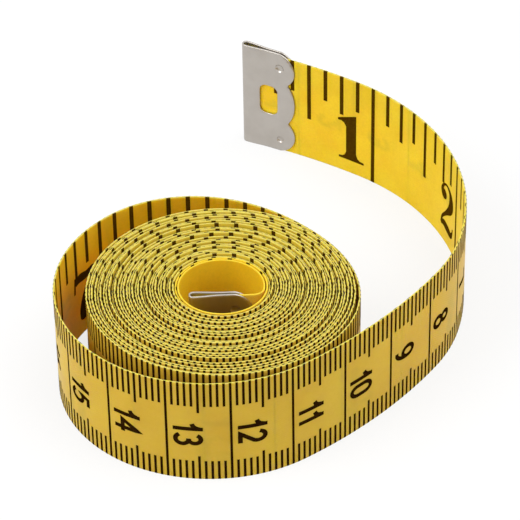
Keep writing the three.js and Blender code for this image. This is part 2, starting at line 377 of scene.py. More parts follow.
def strip_piece(name, start, end, rows):
    """A closed stretch of the strip between two distances from the zero end."""
    across, sides = ring_across(rows)
    stations = np.linspace(start, end, math.ceil((end - start) / STRIP_STEP) + 1)
    points = skin(stations[:, None], across[None, :], sides[None, :])
    count = len(across)
    faces = []
    for i, j in np.ndindex(len(stations) - 1, count):
        here = i * count + j
        after = i * count + (j + 1) % count
        faces.append((here, after, after + count, here + count))
    last = (len(stations) - 1) * count
    faces.append(tuple(range(count))[::-1])
    faces.append(tuple(range(last, last + count)))
    piece = make_object(name, points.reshape(-1, 3), faces, TAPE)
    values = {
        "along": np.repeat(stations, count),
        "across": np.tile(across, len(stations)),
        "side": np.tile(sides, len(stations)),
    }
    values["ghost"] = ghost_at(*values.values())
    for attribute, numbers in values.items():
        set_attribute(piece, attribute, numbers)
    return piece


class Ink:
    """Closed thin shapes on the strip, gathered for one mesh."""

    def __init__(self):
        self.points = []
        self.faces = []
        self.sides = []
        self.count = 0

    def add_sheet(self, flat, faces, side):
        """Adds a closed sheet from points of (along, across) and its faces, the upper layer's first."""
        for proud in (INK_PROUD, -INK_BED):
            self.points.append(skin(flat[:, 0], flat[:, 1], side, proud))
        a, b, c = (flat[i] for i in faces[0][:3])
        turn = (b[0] - a[0]) * (c[1] - b[1]) - (b[1] - a[1]) * (c[0] - b[0])
        order = 1 if turn * side < 0 else -1
        self.faces += [tuple(self.count + i for i in face)[::order] for face in faces]
        self.sides += [side] * (2 * len(flat))
        self.count += 2 * len(flat)

    def add(self, grid, side, low, high):
        """Adds the part of a grid of (along, across) that lies between two distances."""
        rows, columns = grid.shape[:2]
        along = grid[..., 0]
        if along.min() >= low and along.max() <= high:
            self.add_sheet(grid.reshape(-1, 2), grid_faces(rows, columns), side)
            return
        for r, c in np.ndindex(rows - 1, columns - 1):
            cell = [grid[r, c], grid[r, c + 1], grid[r + 1, c + 1], grid[r + 1, c]]
            cell = clipped(clipped(cell, low, 1), high, -1)
            if len(cell) > 2:
                loop = list(range(len(cell)))
                self.add_sheet(np.array(cell), closed_faces([loop], loop, len(cell)), side)

    def build(self, name):
        piece = make_object(name, np.vstack(self.points), self.faces, INK)
        set_attribute(piece, "side", self.sides)
        return piece


def clipped(polygon, limit, sign):
    """The part of a polygon of (along, across) past a limit, or before it for a negative sign."""
    kept = []
    for here, after in zip(polygon, polygon[1:] + polygon[:1]):
        past_here = sign * (here[0] - limit)
        past_after = sign * (after[0] - limit)
        if past_here >= 0:
            kept.append(here)
        if past_here * past_after < 0:
            kept.append(here + (after - here) * past_here / (past_here - past_after))
    return kept


def closed_faces(upper, rim, layer):
    """Faces of a closed sheet of two layers, from those of the upper layer and the loop round it."""
    faces = list(upper)
    faces += [tuple(i + layer for i in face[::-1]) for face in upper]
    faces += [(b, a, a + layer, b + layer) for a, b in zip(rim, rim[1:] + rim[:1])]
    return faces


@functools.cache
def grid_faces(rows, columns):
    numbers = np.arange(rows * columns).reshape(rows, columns)
    corners = [numbers[:-1, :-1], numbers[:-1, 1:], numbers[1:, 1:], numbers[1:, :-1]]
    upper = np.stack(corners, axis=-1).reshape(-1, 4).tolist()
    rim = np.concatenate([numbers[0, :-1], numbers[:-1, -1], numbers[-1, :0:-1], numbers[:0:-1, 0]])
    return closed_faces(upper, rim.tolist(), rows * columns)


# Numerals: a band is a grid of points, with rows along a stroke and columns across it

BAND_COLUMNS = 4
DISC_ROWS = 7
LEAST_MITRE_COSINE = 0.5
ROW_SPACING = 0.6
ARC_STEP_DEGREES = 18
CURVE_STEPS = 5


def arc(x, y, breadth, height, start, end):
    """Points of an elliptical arc, from one angle in degrees to another."""
    count = math.ceil(abs(end - start) / ARC_STEP_DEGREES) + 1
    angles = np.radians(np.linspace(start, end, count))
    return np.stack([x + breadth * np.cos(angles), y + height * np.sin(angles)], axis=1)


def refined(rows):
    """The same line of rows with more of them, so that a stroke can follow the strip's curve."""
    fine = [rows[:1]]
    for start, end in zip(rows, rows[1:]):
        count = math.ceil(np.linalg.norm(end[:2] - start[:2]) / ROW_SPACING)
        share = np.arange(1, count + 1)[:, None] / count
        fine.append(start + (end - start) * share)
    return np.vstack(fine)


def band(points, widths):
    """A stroke of the given widths along points, mitred at its corners."""
    points = np.asarray(points, float)
    rows = refined(np.column_stack([points, np.broadcast_to(widths, len(points))]))
    points, widths = rows[:, :2], rows[:, 2]
    normals = unit(left_of(np.diff(points, axis=0)))
    before = np.vstack([normals[:1], normals])
    after = np.vstack([normals, normals[-1:]])
    middle = unit(before + after)
    mitre = 1 / np.clip((middle * after).sum(axis=1), LEAST_MITRE_COSINE, 1)
    half = middle * (mitre * widths / 2)[:, None]
    share = np.linspace(-1, 1, BAND_COLUMNS)
    return points[:, None, :] + half[:, None, :] * share[None, :, None]


def curved_band(rows):
    """A smooth stroke through rows of (x, y, width)."""
    rows = np.asarray(rows, float)
    padded = np.vstack([2 * rows[0] - rows[1], rows, 2 * rows[-1] - rows[-2]])
    smooth = []
    for a, b, c, d in zip(padded, padded[1:], padded[2:], padded[3:]):
        for t in np.arange(CURVE_STEPS) / CURVE_STEPS:
            squared = (2 * a - 5 * b + 4 * c - d) * t**2
            cubed = (3 * b - a - 3 * c + d) * t**3
            smooth.append((2 * b + (c - a) * t + squared + cubed) / 2)
    smooth.append(rows[-1])
    smooth = np.array(smooth)
    return band(smooth[:, :2], smooth[:, 2])


def disc(x, y, radius):
    """A square grid pressed round."""
    share = np.linspace(-1, 1, DISC_ROWS)
    u, v = np.meshgrid(share, share, indexing="ij")
    right = radius * u * np.sqrt(1 - v * v / 2)
    up = radius * v * np.sqrt(1 - u * u / 2)
    return np.stack([x + right, y + up], axis=-1)


def wedge(rows):
    """A filled shape between two edges, from rows of (x, lower y, upper y)."""
    rows = refined(np.asarray(rows, float))
    share = np.linspace(0, 1, BAND_COLUMNS)
    up = rows[:, 1:2] + (rows[:, 2:3] - rows[:, 1:2]) * share
    return np.stack([np.repeat(rows[:, :1], BAND_COLUMNS, axis=1), up], axis=-1)


def plain_strokes():
    """The centre lines of the plain digits, in a box one wide and one high."""
    six_stem = arc(0.78, 0.31, 0.78, 0.69, 78, 180)
    six_bowl = arc(0.5, 0.31, 0.5, 0.31, 180, -180)
    return {
        "0": [np.vstack([
            arc(0.5, 0.68, 0.5, 0.32, 0, 180), arc(0.5, 0.32, 0.5, 0.32, 180, 360), [(1, 0.68)]])],
        "1": [[(1, -0.09), (1, 1.09)], [(1, 0.98), (0.7, 0.8), (0.3, 0.7), (-0.2, 0.66)]],
        "2": [np.vstack([arc(0.5, 0.7, 0.5, 0.3, 165, -30), [(0.06, 0), (1.08, 0)]])],
        "3": [arc(0.46, 0.755, 0.46, 0.245, 155, -95), arc(0.46, 0.265, 0.54, 0.265, 95, -155)],
        "4": [[(0.74, -0.06), (0.74, 1.02), (0, 0.3), (1.12, 0.3)]],
        "5": [np.vstack([[(0.98, 1), (0.2, 1), (0.08, 0.5)], arc(0.46, 0.33, 0.54, 0.33, 125, -150)])],
        "6": [six_stem, six_bowl],
        "7": [[(-0.06, 1), (1, 1), (0.3, -0.06)]],
        "8": [arc(0.5, 0.765, 0.42, 0.235, -90, 270), arc(0.5, 0.265, 0.5, 0.265, 90, -270)],
        "9": [1 - six_stem, 1 - six_bowl],
    }


def plain_width(digit):
    return CM_DIGIT_WIDTH_OF.get(digit, CM_DIGIT_WIDTH)


def plain_digit(digit, strokes):
    inset = CM_DIGIT_STROKE / 2
    room = np.array([plain_width(digit), CM_DIGIT_HEIGHT]) - CM_DIGIT_STROKE
    return [band(np.asarray(stroke) * room + inset, CM_DIGIT_STROKE) for stroke in strokes]


def heavy_digits():
    """The upright digits with thick stems, thin joins and round ends, in millimetres."""
    lower_bowl = [
        (2.1, 4.8, 0.4), (3.3, 4.5, 0.9), (4.15, 2.7, 1.9),
        (3.6, 0.95, 1.1), (2.2, 0.3, 0.5), (0.75, 1.2, 0.4)]
    return {
        "1": [
            wedge([(1.76, 0, 7.98), (3.52, 0, 8.7)]),
            wedge([(0.35, 7.0, 7.4), (0.9, 7.05, 7.62), (1.4, 6.8, 7.83), (1.75, 6.2, 7.97)]),
            wedge([(0.5, 0, 0.38), (1.1, 0, 0.45), (1.5, 0, 0.75), (1.8, 0, 1.5)]),
            wedge([(3.5, 0, 1.5), (3.8, 0, 0.75), (4.2, 0, 0.45), (4.9, 0, 0.38)]),
        ],
        "2": [
            disc(1.4, 6.4, 0.9),
            curved_band([
                (1.1, 5.7, 0.5), (0.75, 6.9, 0.75), (1.35, 8.1, 0.45), (2.5, 8.5, 0.45), (3.8, 7.8, 1.1),
                (4.2, 6.3, 1.7), (3.7, 4.9, 1.5), (2.3, 3.4, 0.75), (0.95, 1.9, 0.5), (0.55, 0.5, 0.4)]),
            curved_band([
                (0.45, 0.5, 0.5), (1.5, 1.0, 1.2), (2.9, 0.75, 1.45), (4.2, 0.6, 1.1), (4.8, 1.4, 0.5),
                (5.0, 2.3, 0.3)]),
        ],
        "3": [
            disc(1.3, 6.95, 0.85),
            curved_band([
                (0.7, 7.4, 0.4), (2.1, 8.5, 0.45), (3.5, 7.9, 1.1), (3.8, 6.7, 1.7), (3.1, 5.3, 0.8),
                (1.9, 4.8, 0.35)]),
            curved_band(lower_bowl),
            disc(1.3, 1.75, 0.85),
        ],
        "4": [
            band([(3.5, 0), (3.5, 8.7)], 1.8),
            band([(3.0, 8.5), (0.35, 2.75)], 0.5),
            band([(0.1, 2.55), (5.0, 2.55)], 0.45),
            band([(2.1, 0.2), (4.9, 0.2)], 0.4),
        ],
        "5": [
            band([(1.05, 4.6), (1.05, 8.7)], 0.45),
            curved_band([(1.0, 8.0, 1.2), (2.4, 7.9, 1.2), (3.6, 8.0, 0.9), (4.4, 8.5, 0.35)]),
            curved_band([(1.05, 4.7, 0.35), (2.3, 5.35, 0.5), (3.8, 4.6, 1.4)] + lower_bowl[2:]),
            disc(1.3, 1.75, 0.85),
        ],
        "6": [
            disc(3.95, 7.25, 0.75),
            curved_band([
                (4.45, 7.6, 0.4), (3.2, 8.5, 0.4), (1.7, 7.2, 1.3), (1.3, 4.4, 1.95), (1.7, 1.6, 1.4),
                (2.8, 0.3, 0.45), (4.0, 1.2, 1.2), (4.25, 2.7, 1.7), (3.9, 4.2, 1.1), (2.9, 5.0, 0.4),
                (2.0, 4.4, 0.3)]),
        ],
        "7": [
            curved_band([(0.55, 7.6, 1.0), (1.7, 7.95, 1.5), (3.3, 7.7, 1.3), (4.8, 8.35, 0.6)]),
            band([(0.55, 8.7), (0.25, 5.9)], 0.42),
            curved_band([
                (4.85, 8.5, 0.4), (3.9, 6.3, 0.7), (2.9, 4.2, 1.4), (2.4, 2.2, 1.95), (2.3, 0.9, 1.85)]),
            disc(2.3, 0.92, 0.92),
        ],
        "8": [
            curved_band([
                (2.6, 8.5, 0.4), (1.35, 7.6, 1.2), (1.3, 6.3, 1.4), (2.6, 4.9, 1.3), (3.95, 3.4, 1.5),
                (4.2, 2.0, 1.3), (2.7, 0.25, 0.4), (1.05, 1.6, 1.2), (1.1, 3.2, 1.0), (2.6, 4.9, 0.5),
                (3.8, 6.4, 0.9), (3.8, 7.6, 0.9), (2.6, 8.5, 0.4)]),
        ],
    }


PLAIN_DIGITS = {digit: plain_digit(digit, strokes) for digit, strokes in plain_strokes().items()}
HEAVY_DIGITS = heavy_digits()


def centimetre_numeral(number):
    """Bands of a number that reads down the strip, with its base towards its own line."""
    digits = str(number)
    length = sum(plain_width(digit) + CM_DIGIT_GAP for digit in digits) - CM_DIGIT_GAP
    top = CM_NUMERAL_MIDDLE + length / 2
    base = 10 * number - CM_DIGIT_TO_LINE
    bands = []
    for digit in digits:
        for shape in PLAIN_DIGITS[digit]:
            bands.append(np.stack([base - shape[..., 1], top - shape[..., 0]], axis=-1))
        top -= plain_width(digit) + CM_DIGIT_GAP
    return bands


def inch_numeral(number):
    """Bands of an upright number before its own line."""
    middle = INCH * number - INCH_DIGIT_TO_LINE
    corner = (middle - INCH_DIGIT_MIDDLE, INCH_DIGIT_BASE)
    return [shape * INCH_DIGIT_SCALE + corner for shape in HEAVY_DIGITS[str(number)]]


def tick(along, width, low, high, wrap):
    """A line across the strip; one that reaches an edge wraps over it."""
    flat_top = TAPE_WIDTH - EDGE_RADIUS
    bottom = EDGE_RADIUS - wrap if low <= 0 else low
    top = flat_top + wrap if high >= TAPE_WIDTH else high
    corners = [EDGE_RADIUS - wrap / 2, EDGE_RADIUS, flat_top, flat_top + wrap / 2]
    across = [bottom] + [corner for corner in corners if bottom < corner < top] + [top]
    return np.array([[(along - width / 2, z), (along + width / 2, z)] for z in across])


def millimetre_tick(count, low, high):
    return tick(count, MM_LINE, low, high, MM_WRAP)


def inch_tick(along, low):
    return tick(along, INCH_LINE, low, TAPE_WIDTH, INCH_WRAP)


def millimetre_ticks(count):
    """The lines of the centimetre scale at one millimetre."""
    if count % 10 == 0:
        return [millimetre_tick(count, 0, TAPE_WIDTH)]
    fifth = count % 5 == 0
    top = MM_TICK_TOP_FIFTH if fifth else MM_TICK_TOP
    low = MM_TICK_LOW_FIFTH if fifth else MM_TICK_LOW
    return [millimetre_tick(count, 0, low), millimetre_tick(count, TAPE_WIDTH - top, TAPE_WIDTH)]


def eighth_tick(count):
    """The line of the inch scale at one eighth of an inch."""
    along = INCH * count / 8
    if count % 8 == 0:
        return inch_tick(along, 0)
    length = HALF_TICK if count % 4 == 0 else QUARTER_TICK if count % 2 == 0 else EIGHTH_TICK
    return inch_tick(along, TAPE_WIDTH - length)


# How far the print goes: the innermost two turns have no centimetres, and the last one no inches

EYE_TURN_LENGTH = FULL_TURN * EYE_HALF_BREADTH
PRINTED_END = LIFT_ALONG + FULL_TURN * COIL_HALF_BREADTH
PLAIN_FROM = INNER_ALONG - 2 * EYE_TURN_LENGTH
INCH_PRINT_END = INNER_ALONG - EYE_TURN_LENGTH
FREE_CENTIMETRES = range(1, int(PRINTED_END / 10))
FREE_INCHES = range(1, int(LIFT_ALONG / INCH) + 1)
CENTIMETRE_SHAPES = [shape for number in FREE_CENTIMETRES for shape in centimetre_numeral(number)]
INCH_SHAPES = [shape for number in FREE_INCHES for shape in inch_numeral(number)]


# How much of the other face's numerals shows through, from 0 to 1

GHOST_BLUR = 0.5
GHOST_REACH = 3


def stroke_dots(shapes):
    """Middles and half widths along every stroke, as rows of (along, across, half width)."""
    rows = []
    for shape in shapes:
        half = np.linalg.norm(shape[:, -1] - shape[:, 0], axis=1) / 2
        rows.append(np.column_stack([shape.mean(axis=1), half]))
    return np.vstack(rows)


CENTIMETRE_DOTS = stroke_dots(CENTIMETRE_SHAPES)
INCH_DOTS = stroke_dots(INCH_SHAPES)


def ghost_at(along, across, sides):
    """The share at points of a piece of the strip; none on the wound turns, where it would not show."""
    ghost = np.zeros(len(along))
    if along.min() > LIFT_ALONG:
        return ghost
    for side, dots in ((1, INCH_DOTS), (-1, CENTIMETRE_DOTS)):
        is_near = (dots[:, 0] > along.min() - GHOST_REACH) & (dots[:, 0] < along.max() + GHOST_REACH)
        near = dots[is_near]
        chosen = np.flatnonzero(sides == side)
        if len(near) == 0:
            continue
        apart = np.hypot(along[chosen, None] - near[:, 0], across[chosen, None] - near[:, 1])
        past_stroke = (apart - near[:, 2]).min(axis=1)
        ghost[chosen] = smoothstep(0.5 - past_stroke / GHOST_BLUR)
    return ghost


# Materials

MIX_COLOUR_INPUTS = (6, 7)
MIX_COLOUR_OUTPUT = 2


class NodeTree:
    """The nodes of a material or a world."""

    def __init__(self, owner):
        owner.use_nodes = True
        self.nodes = owner.node_tree.nodes
        self.links = owner.node_tree.links

    def feed(self, socket, value):
        """Links an output to a socket, or sets the socket to a number, a vector or a colour."""
        if isinstance(value, bpy.types.NodeSocket):
            self.links.new(value, socket)
        elif socket.type == "RGBA":
            socket.default_value = (*value, 1)
        else:
            socket.default_value = value

    def feed_shader(self, values):
        """Feeds the sockets of a material's surface shader, by their names."""
        for name, value in values.items():
            self.feed(self.nodes["Principled BSDF"].inputs[name], value)

    def add(self, kind, output, values, **settings):
        """Adds a node, feeds its inputs by their names or numbers, and gives back one output."""
        node = self.nodes.new(f"ShaderNode{kind}")
        for name, setting in settings.items():
            setattr(node, name, setting)
        for key, value in values.items():
            self.feed(node.inputs[key], value)
        return node.outputs[output]

    def attribute(self, name):
        return self.add("Attribute", "Fac", {}, attribute_name=name)

    def noise(self, cells):
        """Noise in cells of three given numbers to the metre, one for each way."""
        in_object = self.add("TexCoord", "Object", {})
        scaled = self.add("Mapping", "Vector", {"Vector": in_object, "Scale": cells})
        return self.add("TexNoise", "Fac", {"Vector": scaled, "Scale": 1, "Detail": 3})

    def ramp(self, value, start, end, low=0, high=1):
        """A number that goes from low to high while the value goes from start to end."""
        limits = {"From Min": start, "From Max": end, "To Min": low, "To Max": high}
        return self.add("MapRange", "Result", {"Value": value, **limits})

    def calculate(self, operation, *values):
        return self.add("Math", "Value", dict(enumerate(values)), operation=operation)

    def mix(self, share, first, second):
        colours = dict(zip(MIX_COLOUR_INPUTS, (first, second)))
        return self.add("Mix", MIX_COLOUR_OUTPUT, {"Factor": share, **colours}, data_type="RGBA")

    def bump(self, height, strength, relief):
        values = {"Height": height, "Strength": strength, "Distance": relief * MM}
        return self.add("Bump", "Normal", values)


def new_material(name):
    material = bpy.data.materials.new(name)
    return material, NodeTree(material)


# The cloth's colours, most of them in pairs between which it is patchy
OUTER_FACE = ((0.585, 0.368, 0.034), (0.64, 0.427, 0.046))
LEMON_INNER_FACE = ((0.8, 0.545, 0.03), (0.86, 0.62, 0.04))
# The inner face's deeper orange on the loop and in the eye is painted shade and bounced light
PAINTED_SHADE_INNER_FACE = ((0.85, 0.495, 0.014), (0.91, 0.555, 0.02))
WOUND_FACE = ((0.7, 0.52, 0.05), (0.75, 0.57, 0.06))
GRAIN_COLOUR = (0.55, 0.34, 0.015)
GHOST_COLOUR = (0.33, 0.24, 0.03)
EDGE_COLOUR = (0.68, 0.56, 0.112)
PLAIN_EDGE_COLOUR = (0.8, 0.575, 0.045)

# Where they change: distances from the zero end, and from the crest of an edge
LEMON_UP_TO = 80
# From here on the inner face blends into its painted shade colour
PAINTED_SHADE_FROM = 140
LIFT_FADE = 15
PLAIN_FADE = 1
EDGE_COLOUR_FROM = 0.22
EDGE_COLOUR_FULL = 0.05

# The cloth's texture, in cells to the metre, its threads, and how it takes light
CLOUD_CELLS = (160, 160, 160)
GRAIN_CELLS = (2600, 2600, 2600)
GRAIN_STRENGTH = 0.2
GHOST_STRENGTH = 0.16
THREAD = 0.42
OUTER_GLOSS = 0.13
INNER_GLOSS = 0.02
FREE_TRANSLUCENCY = 0.8
WOUND_TRANSLUCENCY = 0.4
LIGHT_REACH = 0.7
LIGHT_REACH_BY_COLOUR = (1.0, 0.75, 0.05)


def weave(tree):
    """Threads along and across the strip, just showing through the coating."""
    waves = []
    for name in ("along", "across"):
        turned = tree.calculate("MULTIPLY", tree.attribute(name), FULL_TURN / THREAD)
        waves.append(tree.calculate("SINE", turned))
    return tree.calculate("MULTIPLY", *waves)


def nearness_to_edge(tree):
    """0 on the faces of the strip and 1 on the crests of its edges."""
    half = TAPE_WIDTH / 2
    from_middle = tree.calculate("SUBTRACT", tree.attribute("across"), half)
    from_middle = tree.calculate("ABSOLUTE", from_middle)
    return tree.ramp(from_middle, half - EDGE_COLOUR_FROM, half - EDGE_COLOUR_FULL)


def tape_material():
    """Coated cloth: yellow, with the other face's print just showing.

    The inner face is richer and more matt. It is lemon along the tail and turns a deeper orange on the
    loop and in the eye, which is painted shade and bounced light; it is paler on the wound turns that
    have print. Light passes through the free strip, and less through the wound turns.
    """
    material, tree = new_material("coated_cloth")
    clouds = tree.noise(CLOUD_CELLS)
    grain = tree.noise(GRAIN_CELLS)
    patches = tree.ramp(clouds, start=0.3, end=0.7)
    along = tree.attribute("along")
    # Painted shade: a deeper orange on the inner face of the loop and the eye
    is_painted_shade = tree.ramp(along, LEMON_UP_TO, PAINTED_SHADE_FROM)
    is_coiled = tree.ramp(along, LIFT_ALONG - LIFT_FADE, LIFT_ALONG + LIFT_FADE)
    is_plain = tree.ramp(along, PLAIN_FROM, PLAIN_FROM + PLAIN_FADE)
    is_pale = tree.calculate("SUBTRACT", is_coiled, is_plain)
    is_outer = tree.ramp(tree.attribute("side"), start=-1, end=1)
    grain_share = tree.ramp(grain, start=0.35, end=0.75, high=GRAIN_STRENGTH)
    ghost_share = tree.calculate("MULTIPLY", tree.attribute("ghost"), GHOST_STRENGTH)

    inner = tree.mix(is_painted_shade, tree.mix(patches, *LEMON_INNER_FACE), tree.mix(patches, *PAINTED_SHADE_INNER_FACE))
    inner = tree.mix(is_pale, inner, tree.mix(patches, *WOUND_FACE))
    face = tree.mix(is_outer, inner, tree.mix(patches, *OUTER_FACE))
    face = tree.mix(grain_share, face, GRAIN_COLOUR)
    face = tree.mix(ghost_share, face, GHOST_COLOUR)
    edge = tree.mix(is_plain, EDGE_COLOUR, PLAIN_EDGE_COLOUR)
    height = tree.calculate("ADD", weave(tree), grain)
    tree.feed_shader({
        "Base Color": tree.mix(nearness_to_edge(tree), face, edge),
        "Specular IOR Level": tree.ramp(is_outer, 0, 1, INNER_GLOSS, OUTER_GLOSS),
        "Roughness": tree.ramp(clouds, start=0.2, end=0.8, low=0.34, high=0.46),
        "Subsurface Weight": tree.ramp(is_coiled, 0, 1, FREE_TRANSLUCENCY, WOUND_TRANSLUCENCY),
        "Subsurface Radius": LIGHT_REACH_BY_COLOUR,
        "Subsurface Scale": LIGHT_REACH * MM,
        "Normal": tree.bump(height, strength=0.12, relief=0.06),
    })
    return material


OUTER_INK = ((0.016, 0.006, 0.001), (0.03, 0.013, 0.002))
INNER_INK = ((0.058, 0.026, 0.001), (0.08, 0.039, 0.002))
INK_CELLS = (1800, 1800, 1800)


def ink_material():
    """Printing ink: brown-black, browner on the inner face, a little uneven."""
    material, tree = new_material("printing_ink")
    uneven = tree.noise(INK_CELLS)
    patches = tree.ramp(uneven, start=0.35, end=0.7)
    is_outer = tree.ramp(tree.attribute("side"), start=-1, end=1)
    tree.feed_shader({
        "Base Color": tree.mix(is_outer, tree.mix(patches, *INNER_INK), tree.mix(patches, *OUTER_INK)),
        "Specular IOR Level": 0,
        "Roughness": tree.ramp(uneven, start=0.3, end=0.7, low=0.55, high=0.7),
    })
    return material


STEEL_COLOURS = ((0.485, 0.45, 0.41), (0.455, 0.42, 0.38))
STEEL_CELLS = (420, 420, 420)
RUB_CELLS = (900, 900, 9000)


def steel_material():
    """Plated sheet steel: satin, with fine rub marks and duller patches."""
    material, tree = new_material("plated_steel")
    uneven = tree.noise(STEEL_CELLS)
    patches = tree.ramp(uneven, start=0.35, end=0.7)
    tree.feed_shader({
        "Base Color": tree.mix(patches, *STEEL_COLOURS),
        "Metallic": 1.0,
        "Roughness": tree.ramp(uneven, start=0.25, end=0.75, low=0.29, high=0.36),
        "Normal": tree.bump(tree.noise(RUB_CELLS), strength=0.05, relief=0.03),
    })
    return material


TAPE = tape_material()
INK = ink_material()
STEEL = steel_material()


# Pieces of the strip and their print

ZERO_END_LENGTH = 10.7
COIL_OVERLAP = 5.5
INNER_BEND_BEFORE = 10.0
INNER_BEND_AFTER = 1.2
INNER_BEND_START = INNER_ALONG - INNER_BEND_BEFORE
INNER_BEND_END = INNER_ALONG + INNER_BEND_AFTER


def even_bodies(name, count, start, end):
    """Bodies that share a run of the strip evenly, as (name, end towards the coil, other end)."""
    cuts = np.linspace(start, end, count + 1)
    return [(f"{name}_{i + 1}", cuts[i], cuts[i + 1]) for i in range(count)]


def printed_spans():
    """The stretches that carry print as (name, low end, high end), from the coil out to the zero end.

    Between those two, each reaches over a hinge line, from the middle of one body to that of the next.
    """
    bodies = even_bodies("loose_turn", LOOSE_STRETCHES, LIFT_ALONG, TAIL_LENGTH)
    bodies += even_bodies("tail", TAIL_STRETCHES, TAIL_LENGTH, 0)
    cuts = [LIFT_ALONG + COIL_OVERLAP]
    cuts += [(start + end) / 2 for _, start, end in bodies[:-1]]
    cuts[-1] = max(cuts[-1], 2 * ZERO_END_LENGTH)
    cuts.append(ZERO_END_LENGTH)
    spans = [("coil", cuts[0], INNER_BEND_START)]
    spans += [(name, low, high) for (name, _, _), high, low in zip(bodies, cuts, cuts[1:])]
    spans.append(("zero_end", STRIP_SETBACK, ZERO_END_LENGTH))
    return spans


def printed_shapes():
    """Every printed shape with its side, 1 for the outer face and -1 for the inner one.

    The free strip has its whole print, as has the outer face of the coil's outermost turn. Further
    in only the upper ends of the lines are there, and the plain turns in the eye have none.
    """
    for count in range(1, int(PLAIN_FROM)):
        lines = [millimetre_tick(count, TAPE_WIDTH - STUB_TICK, TAPE_WIDTH)]
        if count < PRINTED_END:
            lines = millimetre_ticks(count)
        for line in lines:
            yield line, 1
    for count in range(1, int(INCH_PRINT_END * 8 / INCH)):
        along = INCH * count / 8
        line = inch_tick(along, TAPE_WIDTH - STUB_TICK)
        if along < LIFT_ALONG:
            line = eighth_tick(count)
        yield line, -1
    for shape in CENTIMETRE_SHAPES:
        yield shape, 1
    for shape in INCH_SHAPES:
        yield shape, -1


def build_prints(spans):
    """One piece of ink for each stretch, with the part of every shape that lies on it."""
    inks = {}
    for shape, side in printed_shapes():
        shape_low = shape[..., 0].min()
        shape_high = shape[..., 0].max()
        for name, low, high in spans:
            if low < shape_high and shape_low < high:
                inks.setdefault(name, Ink()).add(shape, side, low, high)
    prints = {name: ink.build(f"print_{name}") for name, ink in inks.items()}
    return prints


def build_rigid_stretch(span, rows, body, prints):
    """A stretch of the strip that rides on one body, with its print."""
    name, low, high = span
    piece = strip_piece(f"strip_{name}", low, high, rows)
    for part in (piece, *prints):
        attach(part, body)
    return piece


def build_free_strip(spans, prints):
    """The loose turn and the tail: a piece of the strip with its print for each stretch, in place of its
    solid.
    """
    for name, low, high in spans:
        piece = strip_piece(f"strip_{name}", low, high, FREE_ROWS)
        for part in (piece, prints[name]):
            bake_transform(part)
        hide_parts(name)


def build_inner_bend():
    """The bend out of the innermost turn, between the coil and the inner end."""
    bend = strip_piece("strip_inner_bend", INNER_BEND_START, INNER_BEND_END, COIL_ROWS)
    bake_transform(bend)


def build_strip():
    spans = printed_spans()
    prints = build_prints(spans)
    coil_span, *free_spans, zero_span = spans
    inner_span = ("inner_end", INNER_BEND_END, STRIP_LENGTH - STRIP_SETBACK)
    coil = build_rigid_stretch(coil_span, COIL_ROWS, "coil", [prints["coil"]])
    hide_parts("wound_coil")
    build_free_strip(free_spans, prints)
    build_rigid_stretch(zero_span, FREE_ROWS, ZERO_BODY, [prints["zero_end"]])
    build_inner_bend()
    inner_end = build_rigid_stretch(inner_span, COIL_ROWS, "inner_end", [])
    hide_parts("inner_end")


# The metal ends: a sheet drawn flat, u across its fold and v up it, then folded

FOLD_HALF = CLIP_FOLD_RADIUS * math.pi / 2
SHEET_GRID = 0.55
FOLD_GRID = FOLD_HALF / 6
RIM_ROOM = 0.16
MOUTH_POINTS = 105
FOLD_EDGE_POINTS = 40
SAME_POINT = 1e-7


def flat_u(x):
    """The flat sheet's distance from the fold line to a place x along the folded clip."""
    return x - CLIP_OUTER_HALF + FOLD_HALF


def mouth(v):
    """How far a leaf reaches from the fold at height v: three lobes."""
    def lobe(x, middle, radius):
        return x + np.sqrt(np.clip(radius**2 - (v - middle) ** 2, 0, None))

    corner_x = CLIP_LENGTH - CORNER_LOBE_RADIUS
    corner_v = CORNER_LOBE_RADIUS - CORNER_LOBE_INSET
    reach = lobe(CLIP_LENGTH - MIDDLE_LOBE_RADIUS, CLIP_HEIGHT / 2, MIDDLE_LOBE_RADIUS)
    reach = np.maximum(reach, lobe(corner_x, corner_v, CORNER_LOBE_RADIUS))
    return np.maximum(reach, lobe(corner_x, CLIP_HEIGHT - corner_v, CORNER_LOBE_RADIUS))


def sheet_outline():
    """The loop round the flat sheet: the mouth of one leaf, the top, the other mouth and the bottom."""
    heights = np.linspace(0, CLIP_HEIGHT, MOUTH_POINTS)
    right = np.stack([flat_u(mouth(heights)), heights], axis=1)
    fold = np.linspace(right[-1, 0], -right[-1, 0], FOLD_EDGE_POINTS)[1:-1]
    top = np.stack([fold, np.full(len(fold), CLIP_HEIGHT)], axis=1)
    left = right[::-1] * (-1, 1)
    bottom = np.stack([-fold, np.zeros(len(fold))], axis=1)
    return np.vstack([right, top, left, bottom])


def window_outline(side):
    """The window in the leaf on one side of the fold: an oblong with round corners."""
    across = WINDOW_BREADTH / 2 - WINDOW_CORNER
    up = WINDOW_HEIGHT / 2 - WINDOW_CORNER
    corners = []
    for quarter, (right, above) in enumerate(((1, 1), (-1, 1), (-1, -1), (1, -1))):
        x = WINDOW_SETBACK + WINDOW_BREADTH / 2 + right * across
        v = CLIP_HEIGHT / 2 + above * up
        corners.append(arc(x, v, WINDOW_CORNER, WINDOW_CORNER, 90 * quarter, 90 * quarter + 90))
    points = np.vstack(corners)
    points[:, 0] = flat_u(points[:, 0])
    return points if side > 0 else (points * (-1, 1))[::-1]


def pit_points():
    """Points in rings over the pits of one leaf and the bumps behind them on the other."""
    rings = []
    for x, v, radius, _ in PITS:
        for share in PIT_RINGS:
            rings.append(arc(flat_u(x), v, share * radius, share * radius, 0, 360 - ARC_STEP_DEGREES))
        rings.append(np.array([[flat_u(x), v]]))
    points = np.vstack(rings)
    return np.vstack([points, points * (-1, 1)])


def shifted(loop, distance):
    """A closed counter-clockwise loop moved inwards, or outwards for a negative distance."""
    inward = left_of(np.roll(loop, -1, axis=0) - np.roll(loop, 1, axis=0))
    return loop + distance * inward / np.linalg.norm(inward, axis=1)[:, None]


